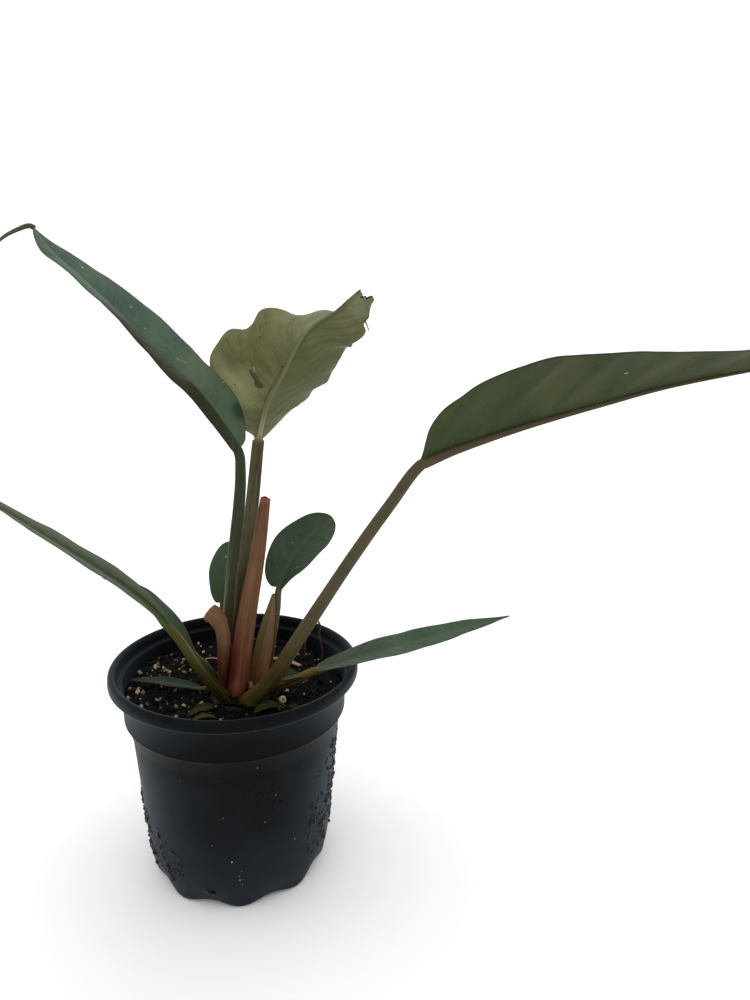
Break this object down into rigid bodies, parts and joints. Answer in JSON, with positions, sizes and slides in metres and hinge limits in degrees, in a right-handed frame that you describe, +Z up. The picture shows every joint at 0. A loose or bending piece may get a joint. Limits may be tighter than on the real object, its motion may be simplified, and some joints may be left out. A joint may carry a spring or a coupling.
{
  "type": "potted plant",
  "caption": "Young tropical foliage plant with long pointed leaves and reddish leaf sheaths, standing in a round black nursery pot of potting mix.",
  "frame": {"origin": "middle of the pot's flat underside, on the surface that it stands on", "axes": "+Z up; +X to the right and -Y towards the viewer, seen from the front as in the picture"},
  "size_m": [0.472, 0.1869, 0.4205],
  "materials": {
    "black_plastic": "satin",
    "blue_green": "satin",
    "dry_brown": "matte",
    "dry_pink": "matte",
    "oval_green": "satin",
    "pale_stone": "matte",
    "petiole_green": "satin",
    "petiole_olive": "satin",
    "potting_mix": "matte",
    "sheath_olive": "satin",
    "sheath_red": "satin",
    "sheath_tan": "matte",
    "strap_green": "satin",
    "under_green": "satin",
    "under_olive": "satin",
    "yellow_green": "matte",
    "young_green": "satin"
  },
  "bodies": {
    "root": {"crown_stem": "petiole_olive", "curled_sheath": "sheath_tan", "dry_sheath_scrap": "dry_pink", "dry_tail": "dry_brown", "low_left_blade": "strap_green", "low_left_petiole": "petiole_green", "low_right_blade": "strap_green", "low_right_petiole": "petiole_green", "oval_back_blade": "oval_green", "oval_back_petiole": "petiole_green", "oval_right_blade": "oval_green", "oval_right_petiole": "sheath_olive", "oval_right_sheath": "sheath_olive", "pale_lump": "pale_stone", "pot": "black_plastic", "potting_mix": "potting_mix", "right_blade": "under_green", "right_petiole": "petiole_olive", "slim_left_blade": "strap_green", "slim_left_petiole": "petiole_green", "small_leaf_back_left": "young_green", "small_leaf_front_left": "young_green", "small_leaf_front_right": "young_green", "small_leaf_round": "young_green", "small_leaf_tiny": "young_green", "small_leaf_yellow": "yellow_green", "soil_left_blade": "strap_green", "soil_left_petiole": "petiole_green", "spear": "sheath_red", "surface_root": "dry_brown", "tiny_leaf_stalk": "petiole_green", "top_blade": "under_olive", "top_petiole": "petiole_green", "upper_left_blade": "blue_green", "upper_left_petiole": "petiole_olive"}
  },
  "joints": []
}
